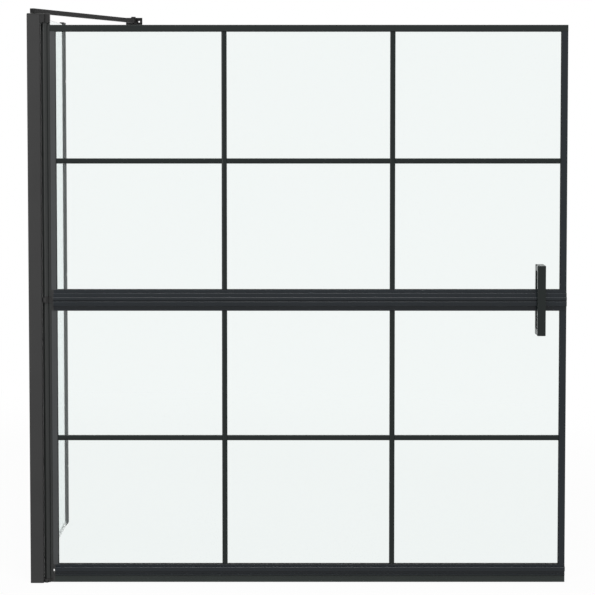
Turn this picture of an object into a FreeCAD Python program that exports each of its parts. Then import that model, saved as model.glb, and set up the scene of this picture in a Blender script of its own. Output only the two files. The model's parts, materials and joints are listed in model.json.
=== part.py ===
import FreeCAD, Part
import math
import os

Vector = FreeCAD.Vector

# Framed bath screen with a swinging front leaf, a corner post and a fixed side pane.
# Millimetres. X runs along the front, Y back to the wall and Z up from the rim of the bath.
# The origin is the centre of the corner post's foot.

# Overall sizes
screen_height = 1300.0
front_width = 1223.2
side_depth = 720.0

# Corner post
post_width = 30.0
post_depth = 32.0
post_wall = 1.8
post_corner = 2.0
cap_thick = 3.0
cap_bevel = 1.8
plug_depth = 12.0
plug_gap = 0.2
channel_edge = 2.4
channel_width = 7.6
channel_depth = 14.0

# Wiper in the post's side, a narrow neck on a wider foot
wiper_neck_half = 0.8
wiper_foot_half = 1.4
wiper_neck_depth = 1.0
wiper_foot_depth = 1.2
wiper_wall = 1.2
wiper_gap = 0.3

# Hinge: round nose, end bushes, pins and bearings
nose_gap = 0.5
nose_radius = 8.0
leaf_standoff = 12.4
pin_radius = 3.0
running_gap = 0.05
bush_radius = 5.0
bush_length = 22.0
bush_plate = 1.5
thrust_gap = 0.3
neck_half = 3.5
arm_reach = 9.4
top_arm_height = 20.5
mid_bearing_height = 11.5
mid_bearing_drop = 4.9
foot_arm_height = 7.5
pin_floor = 1.5
pin_overlap = 1.2
tenon_depth = 8.0
tenon_width = 4.0
tenon_offset = 5.0
tenon_margin = 1.5

# Heights of the leaf's members, and how much more glass shows above the middle rail than below it
rim_gap = 0.8
seal_height = 15.8
bottom_rail_height = 25.2
mid_lower_height = 23.6
mid_upper_height = 23.9
top_rail_height = 14.7
leaf_head_gap = 26.0
sight_difference = 2.0

# Sections of the leaf's frame
left_stile_width = 12.1
right_stile_width = 14.5
frame_corner = 1.0
pocket_depth = 8.0
pocket_wall = 1.3
rail_wall = 1.5
web_half = 2.6
tongue_gap = 0.1
rib_swing_gap = 0.6
end_plug_depth = 6.0

# Ribs of the rails: how far each stands in front of the leaf's face, its height and its edges
flange_height = 7.0
rib_one_proud = 4.0
rib_one_height = 9.0
rib_one_corner = 1.5
rib_two_proud = 7.5
rib_two_corner = 2.5
groove_proud = 4.5
groove_height = 2.0
rib_three_proud = 7.0
rib_three_taper = 1.0
rib_three_height = 11.5
rib_three_corner = 2.0
bottom_flange_height = 5.0
bottom_rib_proud = 6.0
bottom_rib_height = 10.5
bottom_rib_corner = 2.0
drip_proud = 1.2
drip_height = 3.0
seal_groove_width = 6.0
seal_groove_depth = 5.0

# End caps of the ribbed rails
left_cap_plate = 1.2
right_cap_plate = 2.3
spigot_depth = 10.0
spigot_slot_half = 3.0
cap_floor = 2.8
cap_foot_height = 6.4
cap_side_wall = 1.0

# Panes, gaskets and bars
glass_thick = 5.0
gasket_floor = 2.0
gasket_lip = 0.8
gasket_bevel = 1.5
bar_width = 12.0
bar_edge = 3.0
bar_crown = 1.0
bar_spread = 191.0

# Handles
handle_inset = 58.5
handle_width = 19.0
handle_length = 160.0
handle_bar_depth = 10.0
handle_post_height = 14.0
handle_gap = 16.0
handle_bevel = 1.0
washer_thick = 1.0
washer_radius = 7.0
collar_radius = 5.5
collar_gap = 0.1
stud_radius = 3.0
stud_grip = 10.0

# Bottom seal
seal_half = 7.6
seal_block_height = 7.0
seal_stem_gap = 0.2
skirt_thick = 2.4
fin_lift = 3.0

# Side pane and its wall fixing
side_glass_lift = 9.0
side_glass_grip = 12.0
seal_cheek = 1.0
seal_cheek_height = 4.0
side_profile_width = 7.4
side_profile_depth = 45.0
side_profile_wall = 1.5
side_pocket_depth = 14.0
wall_channel_wall = 1.2
wall_channel_web = 2.0
wall_channel_depth = 28.0
adjusting_room = 8.0
wall_cap_thick = 4.0
wall_hole_radius = 2.5
wall_hole_inset = 150.0

# Screws, studs, washers, bushes and the bracket pin's head have flat sides.
screw_sides = 12
plate_sides = 24
stile_screw_radius = 1.2
stile_screw_head_radius = 2.0
stile_screw_head_depth = 0.8
stile_screw_length = 20.0
hinge_screw_radius = 1.5
hinge_screw_head_radius = 3.0
hinge_screw_head_depth = 1.5
hinge_screw_length = 8.5
hinge_screw_shares = (0.08, 0.5, 0.92)
lock_screw_radius = 1.5
lock_screw_head_radius = 3.0
lock_screw_head_depth = 1.4
lock_screw_length = 4.5
lock_screw_back = 14.0

# Brace over the top and its wall bracket
brace_width = 11.0
brace_height = 10.5
brace_wall = 1.3
brace_corner = 0.8
brace_rest_gap = 0.3
brace_overhang = 8.0
brace_cap_thick = 1.5
brace_plug_length = 20.0
brace_pivot_back = 9.0
brace_pin_rise = 8.5
brace_pin_gap = 0.3
brace_reach_x = 173.0
tongue_thick = 6.0
tongue_eye_radius = 6.0
tongue_setback = 9.0
bracket_width = 42.0
bracket_height = 20.0
bracket_thick = 3.0
bracket_drop = 1.5
bracket_hole_spacing = 26.0
bracket_hole_radius = 2.25
ear_thick = 3.5
ear_radius = 7.0
ear_gap = 0.3
ear_reach = 22.0
bracket_pin_tail = 1.2
bracket_head_radius = 6.0
bracket_head_height = 3.6
bracket_head_bevel = 1.2

# One overrun serves all cuts, and no edge is shorter than the least edge
overrun = 5.0
least_edge = 0.001

# Places of the post and the side pane
post_right = post_width / 2
post_left = -post_right
post_back = post_depth / 2
post_front = -post_back
post_inner_left = post_left + post_wall
post_inner_right = post_right - post_wall
post_inner_front = post_front + post_wall
extrusion_foot = cap_thick
extrusion_head = screen_height - cap_thick
channel_left = post_left + channel_edge
channel_right = channel_left + channel_width
channel_floor = post_back - channel_depth
web_front = channel_floor - post_wall
wiper_boss_left = post_right - wiper_neck_depth - wiper_foot_depth - wiper_wall
wiper_boss_front = -wiper_foot_half - wiper_wall
wall_y = post_front + side_depth
side_glass_x = (channel_left + channel_right) / 2
side_glass_left = side_glass_x - glass_thick / 2
side_glass_right = side_glass_x + glass_thick / 2
side_profile_back = wall_y - adjusting_room
side_profile_front = side_profile_back - side_profile_depth
side_glass_front = post_back - side_glass_grip
side_glass_back = side_profile_front + side_glass_grip
side_profile_left = side_glass_x - side_profile_width / 2
side_profile_right = side_glass_x + side_profile_width / 2
wall_channel_left = channel_left - wall_channel_wall
wall_channel_right = channel_right + wall_channel_wall
wall_channel_front = wall_y - wall_channel_depth
wall_hole_heights = [wall_hole_inset, screen_height / 2, screen_height - wall_hole_inset]

# Places of the leaf
axis_x = post_right + nose_gap + nose_radius
leaf_half = nose_radius
leaf_left = axis_x + leaf_standoff
leaf_right = post_left + front_width
rail_left = axis_x + post_back + rib_swing_gap
rail_body_left = rail_left + left_cap_plate
rail_body_right = leaf_right - right_cap_plate
pocket_half = leaf_half - pocket_wall
left_sight = leaf_left + left_stile_width
right_sight = leaf_right - right_stile_width
left_floor = left_sight - pocket_depth
right_floor = right_sight + pocket_depth
seal_top = rim_gap + seal_height
lower_sill = seal_top + bottom_rail_height
leaf_top = screen_height - leaf_head_gap
upper_head = leaf_top - top_rail_height
glazed_height = upper_head - lower_sill - mid_lower_height - mid_upper_height
lower_sight = (glazed_height - sight_difference) / 2
upper_sight = glazed_height - lower_sight
lower_head = lower_sill + lower_sight
joint_z = lower_head + mid_lower_height
upper_sill = joint_z + mid_upper_height
bar_centres = [(left_sight + right_sight) / 2 + side * bar_spread for side in (-1, 1)]

# Levels of the rails' ribs, pockets and chambers
rib_one_y = -leaf_half - rib_one_proud
rib_two_y = -leaf_half - rib_two_proud
rib_two_top = upper_sill - flange_height - rib_one_height
groove_y = -leaf_half - groove_proud
rib_three_y = -leaf_half - rib_three_proud
rib_three_top = joint_z - groove_height
rib_three_low = rib_three_top - rib_three_height
bottom_rib_y = -leaf_half - bottom_rib_proud
bottom_rib_top = lower_sill - bottom_flange_height
bottom_rib_low = bottom_rib_top - bottom_rib_height
seal_groove_top = seal_top + seal_groove_depth
bottom_ceiling = lower_sill - pocket_depth - rail_wall
mid_lower_floor = lower_head + pocket_depth + rail_wall
mid_upper_ceiling = upper_sill - pocket_depth - rail_wall
bottom_cap_floor = lower_sill - pocket_depth - cap_floor

# Places of the hinge
top_arm_z = screen_height - top_arm_height
mid_bearing_z = joint_z - mid_bearing_drop
mid_bearing_top = mid_bearing_z + mid_bearing_height
bush_stack = thrust_gap + bush_plate
lower_hinge_span = (foot_arm_height + bush_stack, mid_bearing_z - bush_stack)
upper_hinge_span = (mid_bearing_top + bush_stack, top_arm_z - bush_stack)

# Places of the handles
handle_x = leaf_right - handle_inset
handle_low = joint_z - handle_length / 2
handle_high = joint_z + handle_length / 2
stud_heights = (handle_low + handle_post_height / 2, handle_high - handle_post_height / 2)
handle_foot = glass_thick / 2 + washer_thick
handle_back = glass_thick / 2 + handle_gap
handle_front = handle_back + handle_bar_depth

# Places of the brace
brace_pivot_y = post_front + brace_pivot_back
brace_bottom = screen_height + brace_rest_gap
brace_top = brace_bottom + brace_height
brace_middle = brace_bottom + brace_height / 2
brace_pin_top = screen_height + brace_pin_rise
wall_pin_y = wall_y - bracket_thick - ear_reach
brace_span_y = wall_pin_y - brace_pivot_y
brace_length = math.hypot(brace_reach_x, brace_span_y)
brace_turn = math.degrees(math.atan2(brace_reach_x, brace_span_y))
brace_bar_front = brace_cap_thick - brace_overhang
brace_bar_back = brace_length - tongue_setback
tongue_low = brace_middle - tongue_thick / 2
tongue_high = brace_middle + tongue_thick / 2
lower_ear_span = (tongue_low - ear_gap - ear_thick, tongue_low - ear_gap)
upper_ear_span = (tongue_high + ear_gap, tongue_high + ear_gap + ear_thick)
bracket_z = brace_middle - bracket_drop


def rounded_face(corners, place):
    """Flat face from corners (u, v, radius). place turns (u, v) into a point in space."""
    joints = []
    count = len(corners)
    for index in range(count):
        u, v, radius = corners[index]
        corner = Vector(u, v, 0)
        if radius == 0:
            joints.append((corner, corner, corner))
            continue
        before = corners[index - 1]
        after = corners[(index + 1) % count]
        to_before = Vector(before[0] - u, before[1] - v, 0).normalize()
        to_after = Vector(after[0] - u, after[1] - v, 0).normalize()
        half_angle = to_before.getAngle(to_after) / 2
        reach = radius / math.tan(half_angle)
        inward = (to_before + to_after).normalize()
        middle = corner + inward * (radius / math.sin(half_angle) - radius)
        joints.append((corner + to_before * reach, middle, corner + to_after * reach))
    edges = []
    for index in range(count):
        first, middle, last = [place(point.x, point.y) for point in joints[index]]
        following = joints[(index + 1) % count][0]
        following = place(following.x, following.y)
        if first.distanceToPoint(last) > least_edge:
            edges.append(Part.Arc(first, middle, last).toShape())
        if last.distanceToPoint(following) > least_edge:
            edges.append(Part.LineSegment(last, following).toShape())
    return Part.Face(Part.Wire(edges))


def rectangle(u_span, v_span, radius=0):
    """Corners of a rectangle, each with the same radius."""
    return [
        (u_span[0], v_span[0], radius),
        (u_span[1], v_span[0], radius),
        (u_span[1], v_span[1], radius),
        (u_span[0], v_span[1], radius),
    ]


def upright(corners, low, high):
    """Prism with its outline in (x, y), standing from low to high."""
    face = rounded_face(corners, lambda x, y: Vector(x, y, low))
    return face.extrude(Vector(0, 0, high - low))


def lengthwise(corners, left, right):
    """Prism with its outline in (y, z), running from left to right."""
    face = rounded_face(corners, lambda y, z: Vector(left, y, z))
    return face.extrude(Vector(right - left, 0, 0))


def backward(corners, front, back):
    """Prism with its outline in (x, z), running from front to back."""
    face = rounded_face(corners, lambda x, z: Vector(x, front, z))
    return face.extrude(Vector(0, back - front, 0))


def box(x_span, y_span, z_span):
    """Box over three spans, each given in either order."""
    spans = [sorted(span) for span in (x_span, y_span, z_span)]
    sizes = [high - low for low, high in spans]
    return Part.makeBox(*sizes, Vector(*[low for low, high in spans]))


def rod(radius, start, end):
    """Plain cylinder between two points."""
    along = end - start
    return Part.makeCylinder(radius, along.Length, start, along)


def flat_face(points):
    """Flat face with straight edges between points."""
    return Part.Face(Part.makePolygon(points + [points[0]]))


def faceted(profile, sides, base, direction):
    """Solid from (radius, height) pairs with flat sides, standing on base along direction."""
    angles = [2 * math.pi * index / sides for index in range(sides)]
    rings = [[Vector(r * math.cos(a), r * math.sin(a), height) for a in angles] for r, height in profile]
    faces = [flat_face(rings[0]), flat_face(rings[-1])]
    for low, high in zip(rings, rings[1:]):
        for index in range(sides):
            faces.append(flat_face([low[index - 1], low[index], high[index], high[index - 1]]))
    solid = Part.makeSolid(Part.makeShell(faces)).removeSplitter()
    solid.Placement = FreeCAD.Placement(base, FreeCAD.Rotation(Vector(0, 0, 1), direction))
    return solid


def cut_all(solid, tools):
    """Solid with every tool cut away."""
    for tool in tools:
        solid = solid.cut(tool)
    return solid


def fuse_all(solids):
    """One solid from several that touch."""
    result = solids[0]
    for solid in solids[1:]:
        result = result.fuse(solid)
    return result.removeSplitter()


def bevelled_top(solid, bevel):
    """Solid with a bevel round its highest face."""
    top = max(solid.Faces, key=lambda face: face.CenterOfMass.z)
    return solid.makeChamfer(bevel, top.OuterWire.Edges)


def post_plug(low, high):
    """Plug of a cap that enters the post's front chamber."""
    x_span = (post_inner_left + plug_gap, post_inner_right - plug_gap)
    y_span = (post_inner_front + plug_gap, wiper_boss_front - plug_gap)
    return box(x_span, y_span, (low, high))


def wiper_strip(low, high, proud):
    """Wiper with its foot in the post's groove, standing proud of the post's side."""
    neck_left = post_right - wiper_neck_depth
    foot_left = neck_left - wiper_foot_depth
    foot = box((foot_left, neck_left), (-wiper_foot_half, wiper_foot_half), (low, high))
    neck = box((neck_left, post_right + proud), (-wiper_neck_half, wiper_neck_half), (low, high))
    return fuse_all([foot, neck])


def bearing_tenon():
    """Tenon that holds the middle bearing in the post's wall."""
    y_span = (-tenon_offset - tenon_width / 2, -tenon_offset + tenon_width / 2)
    z_span = (mid_bearing_z + tenon_margin, mid_bearing_top - tenon_margin)
    return box((post_right - tenon_depth, post_right), y_span, z_span)


def axis_rod(radius, low, high):
    """Cylinder on the hinge axis, for a pin, a barrel or a hole."""
    return rod(radius, Vector(axis_x, 0, low), Vector(axis_x, 0, high))


def hinge_neck(low, high):
    """Narrow web from the hinge axis to the leaf."""
    return box((axis_x, leaf_left), (-neck_half, neck_half), (low, high))


def barrel_and_neck(low, high):
    """Prism of the hinge's outline: a round barrel about the axis and a narrower neck to the leaf."""
    return fuse_all([axis_rod(nose_radius, low, high), hinge_neck(low, high)])


def bearing_block(low, high):
    """Bearing beside the post with a bolder front, kept in a circle that the leaf clears as it swings."""
    arm = box((post_right, axis_x), (-leaf_half, leaf_half), (low, high))
    front = box((post_right, post_right + arm_reach), (-leaf_standoff, 0), (low, high))
    circle = axis_rod(leaf_standoff - thrust_gap, low, high)
    return fuse_all([arm, front, barrel_and_neck(low, high)]).common(circle)


def corner_post():
    """Extrusion with two chambers, a glass channel at the back and a wiper groove in its side."""
    front_chamber = [
        (post_inner_left, post_inner_front, 0),
        (post_inner_right, post_inner_front, 0),
        (post_inner_right, wiper_boss_front, 0),
        (wiper_boss_left, wiper_boss_front, 0),
        (wiper_boss_left, web_front, 0),
        (post_inner_left, web_front, 0),
    ]
    back_chamber_x = (channel_right + post_wall, post_inner_right)
    back_chamber = rectangle(back_chamber_x, (channel_floor, post_back - post_wall))
    channel = rectangle((channel_left, channel_right), (channel_floor, post_back + overrun))
    outline = rectangle((post_left, post_right), (post_front, post_back), post_corner)
    post = upright(outline, extrusion_foot, extrusion_head)
    low = extrusion_foot - overrun
    high = extrusion_head + overrun
    hollows = [upright(corners, low, high) for corners in (front_chamber, back_chamber, channel)]
    return cut_all(post, hollows + [wiper_strip(low, high, overrun), bearing_tenon()])


def wiper_seals():
    """One strip beside each hinge profile."""
    spans = (lower_hinge_span, upper_hinge_span)
    return Part.makeCompound([wiper_strip(low, high, nose_gap - wiper_gap) for low, high in spans])


def top_bearing_cap():
    """Cap of the post with a plug and an arm that reaches over the upper hinge profile."""
    plate_outline = [
        (post_left, post_front, post_corner),
        (post_right, post_front, 0),
        (post_right, post_back, post_corner),
        (post_left, post_back, post_corner),
    ]
    arm_outline = [
        (post_right, post_front, 0),
        (post_right + arm_reach, post_front, 0),
        (post_right + arm_reach, -leaf_half, 0),
        (leaf_left, -leaf_half, 0),
        (leaf_left, leaf_half, 0),
        (post_right, leaf_half, 0),
    ]
    plug_low = extrusion_head - plug_depth
    plate = upright(plate_outline, extrusion_head, screen_height)
    arm = upright(arm_outline, top_arm_z, screen_height)
    body = bevelled_top(fuse_all([plate, arm]), cap_bevel)
    body = fuse_all([body, post_plug(plug_low, extrusion_head)])
    hinge_bore = axis_rod(pin_radius, top_arm_z - overrun, screen_height - pin_floor)
    return cut_all(body, [hinge_bore, brace_post_pin()])


def mid_bearing():
    """Bearing between the two hinge profiles, on a tenon through the post's wall."""
    body = fuse_all([bearing_block(mid_bearing_z, mid_bearing_top), bearing_tenon()])
    return body.cut(axis_rod(pin_radius, mid_bearing_z - overrun, mid_bearing_top + overrun))


def bottom_bearing_cap():
    """Foot of the post with a plug and the lowest bearing."""
    outline = rectangle((post_left, post_right), (post_front, post_back), post_corner)
    plate = upright(outline, 0, cap_thick)
    plug = post_plug(cap_thick, cap_thick + plug_depth)
    body = fuse_all([plate, plug, bearing_block(0, foot_arm_height)])
    return body.cut(axis_rod(pin_radius, pin_floor, foot_arm_height + overrun))


def pivot_pins():
    """Three steel pins on the hinge axis."""
    reach = bush_length + pin_overlap
    spans = (
        (pin_floor, lower_hinge_span[0] + reach),
        (lower_hinge_span[1] - reach, upper_hinge_span[0] + reach),
        (upper_hinge_span[1] - reach, screen_height - pin_floor),
    )
    return Part.makeCompound([axis_rod(pin_radius, low, high) for low, high in spans])


def side_glass():
    """Fixed pane between the post and the wall."""
    x_span = (side_glass_left, side_glass_right)
    return box(x_span, (side_glass_front, side_glass_back), (side_glass_lift, extrusion_head))


def post_gasket():
    """Gasket that holds the side pane in the post's channel."""
    lip = post_back + gasket_lip
    outline = [
        (channel_left, channel_floor, 0),
        (channel_right, channel_floor, 0),
        (channel_right, lip, 0),
        (side_glass_right, lip, 0),
        (side_glass_right, side_glass_front, 0),
        (side_glass_left, side_glass_front, 0),
        (side_glass_left, lip, 0),
        (channel_left, lip, 0),
    ]
    return upright(outline, side_glass_lift, extrusion_head)


def side_profile():
    """Slim extrusion on the pane's back edge, with a glass pocket and one chamber."""
    pocket_floor = side_profile_front + side_pocket_depth
    outline = rectangle((side_profile_left, side_profile_right), (side_profile_front, side_profile_back))
    pocket = rectangle((side_glass_left, side_glass_right), (side_profile_front - overrun, pocket_floor))
    chamber_span = (pocket_floor + side_profile_wall, side_profile_back - side_profile_wall)
    chamber = rectangle((side_glass_left, side_glass_right), chamber_span)
    body = upright(outline, 0, extrusion_head)
    hollows = [upright(corners, -overrun, extrusion_head + overrun) for corners in (pocket, chamber)]
    return cut_all(body, hollows + locking_screws().Solids)


def wall_channel():
    """Channel screwed to the wall, in which the side profile slides to adjust."""
    outline = rectangle((wall_channel_left, wall_channel_right), (wall_channel_front, wall_y))
    inner_span = (wall_channel_front - overrun, wall_y - wall_channel_web)
    inner = rectangle((channel_left, channel_right), inner_span)
    body = upright(outline, 0, extrusion_head)
    tools = [upright(inner, -overrun, extrusion_head + overrun)]
    for height in wall_hole_heights:
        start = Vector(side_glass_x, wall_y - wall_channel_web - overrun, height)
        tools.append(rod(wall_hole_radius, start, Vector(side_glass_x, wall_y + overrun, height)))
    return cut_all(body, tools + locking_screws().Solids)


def wall_channel_cap():
    """Cap over the side profile and the wall channel, with a plug."""
    lid_z = (extrusion_head, extrusion_head + wall_cap_thick)
    lid = box((wall_channel_left, wall_channel_right), (side_profile_front, wall_y), lid_z)
    plug_front = side_profile_front + side_pocket_depth + side_profile_wall + plug_gap
    plug = box(
        (side_glass_left + plug_gap, side_glass_right - plug_gap),
        (plug_front, side_profile_back - side_profile_wall - plug_gap),
        (extrusion_head - plug_depth, extrusion_head),
    )
    return fuse_all([lid, plug])


def locking_screws():
    """Pan head screws that lock the side profile in the wall channel."""
    head_face = wall_channel_right + lock_screw_head_depth
    profile = [
        (lock_screw_head_radius, 0),
        (lock_screw_head_radius, lock_screw_head_depth),
        (lock_screw_radius, lock_screw_head_depth),
        (lock_screw_radius, lock_screw_head_depth + lock_screw_length),
    ]
    bases = [Vector(head_face, wall_y - lock_screw_back, height) for height in wall_hole_heights]
    return Part.makeCompound([faceted(profile, screw_sides, base, Vector(-1, 0, 0)) for base in bases])


def side_glass_seal():
    """Strip under the side pane that holds its lower edge."""
    x_span = (side_glass_left - seal_cheek, side_glass_right + seal_cheek)
    y_span = (post_back + gasket_lip, side_profile_front)
    body = box(x_span, y_span, (0, side_glass_lift + seal_cheek_height))
    slot_y = (y_span[0] - overrun, y_span[1] + overrun)
    slot_z = (side_glass_lift, side_glass_lift + seal_cheek_height + overrun)
    return body.cut(box((side_glass_left, side_glass_right), slot_y, slot_z))


def hinge_profile(span):
    """Extrusion with a bore for the bushes in its barrel."""
    bore = axis_rod(bush_radius, span[0] - overrun, span[1] + overrun)
    return cut_all(barrel_and_neck(span[0], span[1]), [bore] + hinge_screws().Solids)


def end_bush(face, inward):
    """Moulded end of a hinge profile: a plate and a barrel for the pin. inward is 1 up or -1 down."""
    neck = hinge_neck(*sorted((face, face - inward * bush_plate)))
    plate_profile = [(nose_radius, -bush_plate), (nose_radius, 0)]
    barrel_profile = [(bush_radius, 0), (bush_radius, bush_length)]
    base = Vector(axis_x, 0, face)
    plate = faceted(plate_profile, plate_sides, base, Vector(0, 0, inward))
    barrel = faceted(barrel_profile, screw_sides, base, Vector(0, 0, inward))
    reach = bush_length + bush_plate + overrun
    pin_hole = axis_rod(pin_radius + running_gap, face - reach, face + reach)
    return fuse_all([plate, neck, barrel]).cut(pin_hole)


def hinge_bushes():
    """Bushes at both ends of both hinge profiles."""
    bushes = []
    for low, high in (lower_hinge_span, upper_hinge_span):
        bushes += [end_bush(low, 1), end_bush(high, -1)]
    return Part.makeCompound(bushes)


def hinge_screws():
    """Countersunk screws from the left stiles' pockets into the hinge profiles."""
    profile = [
        (hinge_screw_head_radius, 0),
        (hinge_screw_radius, hinge_screw_head_depth),
        (hinge_screw_radius, hinge_screw_length),
    ]
    heights = [lower_sill + share * lower_sight for share in hinge_screw_shares]
    heights += [upper_sill + share * upper_sight for share in hinge_screw_shares]
    bases = [Vector(left_floor, 0, height) for height in heights]
    return Part.makeCompound([faceted(profile, screw_sides, base, Vector(-1, 0, 0)) for base in bases])


def stile_screws():
    """Countersunk screws that hold the rails to the ends of the stiles."""
    profile = [
        (stile_screw_head_radius, 0),
        (stile_screw_radius, stile_screw_head_depth),
        (stile_screw_radius, stile_screw_length),
    ]
    left_x = (leaf_left + left_floor) / 2
    right_x = (right_floor + rail_body_right) / 2
    screws = []
    for x, bottom_z in ((left_x, bottom_cap_floor), (right_x, bottom_ceiling)):
        ends = ((leaf_top, -1), (mid_upper_ceiling, 1), (mid_lower_floor, -1), (bottom_z, 1))
        screws += [faceted(profile, screw_sides, Vector(x, 0, z), Vector(0, 0, way)) for z, way in ends]
    return Part.makeCompound(screws)


def stile(outer, floor, sight, span, low_tongue, high_tongue, chambers):
    """Upright of the leaf with a glass pocket. Its core runs on as a tongue into each rail's pocket."""
    toward = math.copysign(1, sight - outer)
    outline = [
        (outer, -leaf_half, frame_corner),
        (sight, -leaf_half, 0),
        (sight, leaf_half, 0),
        (outer, leaf_half, frame_corner),
    ]
    body = upright(outline, span[0], span[1])
    pocket_x = (floor, sight + toward * overrun)
    pocket = box(pocket_x, (-pocket_half, pocket_half), (span[0] - overrun, span[1] + overrun))
    tongue_y = (tongue_gap - pocket_half, pocket_half - tongue_gap)
    tongues = [
        box((floor, low_tongue), tongue_y, (span[0] - pocket_depth, span[0])),
        box((floor, high_tongue), tongue_y, (span[1], span[1] + pocket_depth)),
    ]
    body = fuse_all([body.cut(pocket)] + tongues)
    hollows = []
    if chambers:
        chamber_x = (floor - toward * rail_wall, outer + toward * rail_wall)
        chamber_z = (span[0] - pocket_depth - overrun, span[1] + pocket_depth + overrun)
        hollows = [box(chamber_x, (side * web_half, side * pocket_half), chamber_z) for side in (-1, 1)]
    return cut_all(body, hollows + stile_screws().Solids + hinge_screws().Solids)


def left_stile(span):
    """Narrow stile with a solid core, screwed to a hinge profile."""
    return stile(leaf_left, left_floor, left_sight, span, leaf_left, leaf_left, False)


def right_stile(span, high_tongue):
    """Wider stile with two chambers in its core."""
    return stile(leaf_right, right_floor, right_sight, span, rail_body_right, high_tongue, True)


def top_chambers():
    """The two chambers of the top rail, as corners in (y, z)."""
    z_span = (upper_head + pocket_depth + rail_wall, leaf_top - rail_wall)
    return [rectangle((side * web_half, side * pocket_half), z_span) for side in (-1, 1)]


def top_rail():
    """Rail with a glass pocket below and two chambers above, over both stiles."""
    outline = [
        (-leaf_half, upper_head, 0),
        (leaf_half, upper_head, 0),
        (leaf_half, leaf_top, frame_corner),
        (-leaf_half, leaf_top, frame_corner),
    ]
    pocket = rectangle((-pocket_half, pocket_half), (upper_head - overrun, upper_head + pocket_depth))
    body = lengthwise(outline, leaf_left, leaf_right)
    sections = [pocket] + top_chambers()
    hollows = [lengthwise(corners, leaf_left - overrun, leaf_right + overrun) for corners in sections]
    return cut_all(body, hollows + stile_screws().Solids)


def top_rail_end_plugs():
    """Flush plugs in both ends of the top rail's chambers."""
    plugs = []
    for corners in top_chambers():
        plugs.append(lengthwise(corners, leaf_left, leaf_left + end_plug_depth))
        plugs.append(lengthwise(corners, leaf_right - end_plug_depth, leaf_right))
    return Part.makeCompound(plugs)


def mid_upper_section():
    """Outline and chamber of the middle rail's upper half: two stepped ribs."""
    outline = [
        (leaf_half, joint_z, 0),
        (leaf_half, upper_sill, 0),
        (-leaf_half, upper_sill, 0),
        (-leaf_half, upper_sill - flange_height, 0),
        (rib_one_y, upper_sill - flange_height, rib_one_corner),
        (rib_one_y, rib_two_top, 0),
        (rib_two_y, rib_two_top, rib_two_corner),
        (rib_two_y, joint_z, rib_one_corner),
    ]
    chamber = [
        (rib_two_y + rail_wall, joint_z + rail_wall, 0),
        (leaf_half - rail_wall, joint_z + rail_wall, 0),
        (leaf_half - rail_wall, mid_upper_ceiling, 0),
        (rib_one_y + rail_wall, mid_upper_ceiling, 0),
        (rib_one_y + rail_wall, rib_two_top - rail_wall, 0),
        (rib_two_y + rail_wall, rib_two_top - rail_wall, 0),
    ]
    return outline, chamber


def mid_lower_section():
    """Outline and chamber of the middle rail's lower half: a groove over one tapered rib."""
    rib_low_y = rib_three_y + rib_three_taper
    outline = [
        (leaf_half, lower_head, 0),
        (leaf_half, joint_z, 0),
        (groove_y, joint_z, 0),
        (groove_y, rib_three_top, 0),
        (rib_three_y, rib_three_top, rib_three_corner),
        (rib_low_y, rib_three_low, rib_one_corner),
        (-leaf_half, rib_three_low, 0),
        (-leaf_half, lower_head, 0),
    ]
    chamber = [
        (groove_y + rail_wall, joint_z - rail_wall, 0),
        (leaf_half - rail_wall, joint_z - rail_wall, 0),
        (leaf_half - rail_wall, mid_lower_floor, 0),
        (rail_wall - leaf_half, mid_lower_floor, 0),
        (rail_wall - leaf_half, rib_three_low + rail_wall, 0),
        (rib_low_y + rail_wall, rib_three_low + rail_wall, 0),
        (rib_three_y + rail_wall, rib_three_top - rail_wall, 0),
        (groove_y + rail_wall, rib_three_top - rail_wall, 0),
    ]
    return outline, chamber


def bottom_section():
    """Outline and chamber of the bottom rail: one rib and a drip edge."""
    drip_y = -leaf_half - drip_proud
    outline = [
        (leaf_half, seal_top, 0),
        (leaf_half, lower_sill, 0),
        (-leaf_half, lower_sill, 0),
        (-leaf_half, bottom_rib_top, 0),
        (bottom_rib_y, bottom_rib_top, bottom_rib_corner),
        (bottom_rib_y, bottom_rib_low, bottom_rib_corner),
        (-leaf_half, bottom_rib_low, 0),
        (-leaf_half, seal_top + drip_height, 0),
        (drip_y, seal_top + drip_height, 0),
        (drip_y, seal_top, 0),
    ]
    chamber = [
        (bottom_rib_y + rail_wall, bottom_ceiling, 0),
        (leaf_half - rail_wall, bottom_ceiling, 0),
        (leaf_half - rail_wall, seal_groove_top + rail_wall, 0),
        (rail_wall - leaf_half, seal_groove_top + rail_wall, 0),
        (rail_wall - leaf_half, bottom_rib_low + rail_wall, 0),
        (bottom_rib_y + rail_wall, bottom_rib_low + rail_wall, 0),
    ]
    return outline, chamber


def glass_pocket(left, right, sight, floor):
    """Space of a rail's glass pocket, open past the sight line."""
    past_sight = sight + math.copysign(overrun, sight - floor)
    return box((left - overrun, right + overrun), (-pocket_half, pocket_half), (floor, past_sight))


def upper_mid_pocket(left, right):
    """Glass pocket of the middle rail's upper half."""
    return glass_pocket(left, right, upper_sill, upper_sill - pocket_depth)


def lower_mid_pocket(left, right):
    """Glass pocket of the middle rail's lower half."""
    return glass_pocket(left, right, lower_head, lower_head + pocket_depth)


def bottom_pocket(left, right):
    """Glass pocket of the bottom rail."""
    return glass_pocket(left, right, lower_sill, lower_sill - pocket_depth)


def ribbed_rail(section, tools):
    """Ribbed extrusion between its end caps, with its chamber and further cuts."""
    outline, chamber = section
    body = lengthwise(outline, rail_body_left, rail_body_right)
    hollow = lengthwise(chamber, rail_body_left - overrun, rail_body_right + overrun)
    return cut_all(body, [hollow] + tools + stile_screws().Solids)


def mid_rail_upper():
    """Upper half of the middle rail."""
    return ribbed_rail(mid_upper_section(), [upper_mid_pocket(rail_body_left, rail_body_right)])


def mid_rail_lower():
    """Lower half of the middle rail."""
    return ribbed_rail(mid_lower_section(), [lower_mid_pocket(rail_body_left, rail_body_right)])


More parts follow.
